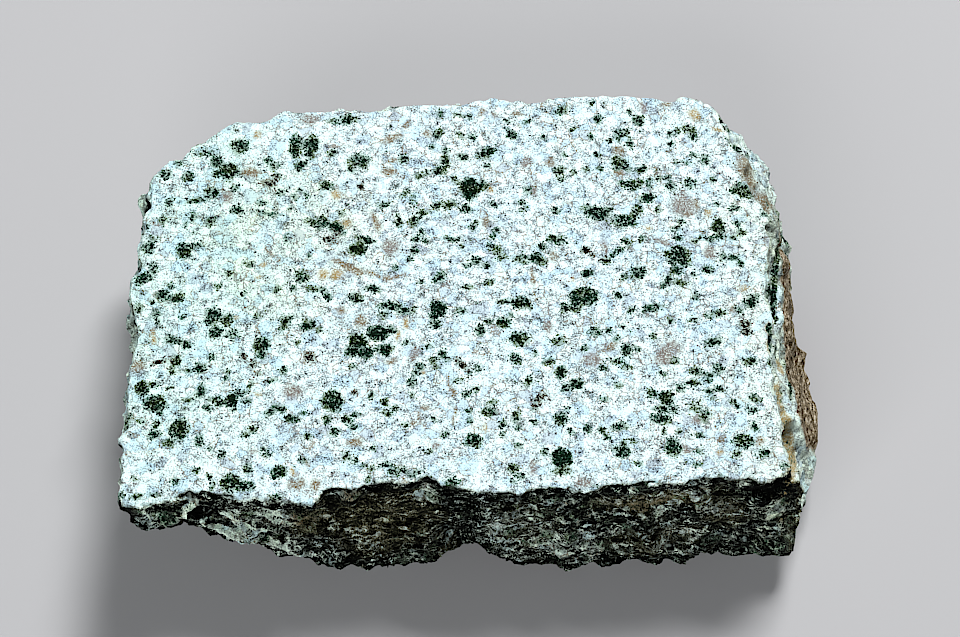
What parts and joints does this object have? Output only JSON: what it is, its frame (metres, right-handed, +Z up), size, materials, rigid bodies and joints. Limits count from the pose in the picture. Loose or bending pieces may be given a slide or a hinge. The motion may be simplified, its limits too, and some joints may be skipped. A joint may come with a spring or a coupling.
{
  "type": "monzonite hand specimen",
  "caption": "Broken slab of coarse-grained pale igneous rock with dark mineral clusters, flat rough top and ragged sides, lying on a small flat spot.",
  "frame": {"origin": "middle of the specimen's base, on the surface that it rests on", "axes": "+X along the slab's length, +Y from the steep front face to the straight back edge, +Z up"},
  "size_m": [0.1092, 0.0754, 0.0275],
  "materials": {
    "stone": "dull broken rock, pale feldspar with dark green-black mineral clusters and brown weathering"
  },
  "bodies": {
    "root": {"monzonite": "stone"}
  },
  "joints": []
}
